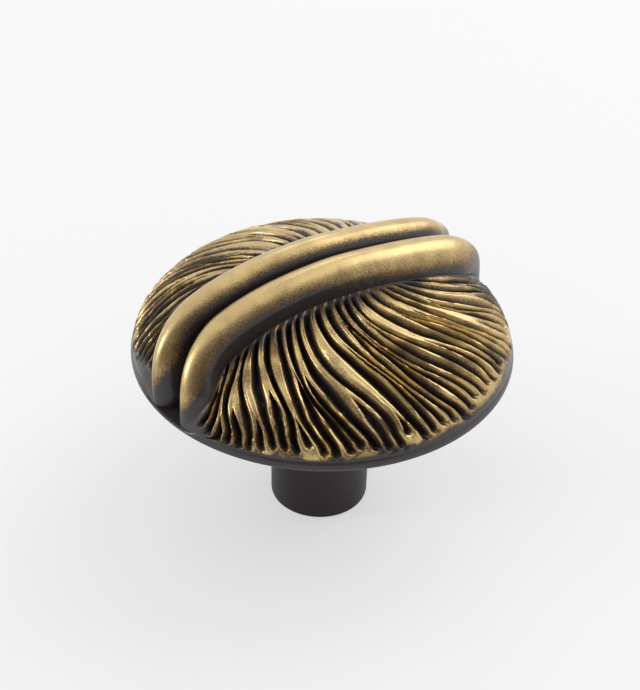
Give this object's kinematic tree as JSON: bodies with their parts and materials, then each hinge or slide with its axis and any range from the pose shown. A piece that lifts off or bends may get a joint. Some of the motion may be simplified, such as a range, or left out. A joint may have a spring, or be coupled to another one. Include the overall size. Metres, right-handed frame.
{
  "type": "cabinet knob",
  "caption": "Round cabinet and drawer knob: a domed head with twin half-round bars across it and swept carved ridges, on a plain stem with a blind tapped hole.",
  "frame": {"origin": "centre of the stem's flat base, which rests on the face of the door or drawer", "axes": "+Z out of the door along the stem's axis, +X along the two bars of the head, +Y across them"},
  "size_m": [0.0382, 0.0382, 0.0304],
  "materials": {
    "antique_brass": "antique brass: dark brown patina, rubbed back to satin brass on the bars and the ridge crests"
  },
  "bodies": {
    "root": {"knob": "antique_brass"}
  },
  "joints": []
}
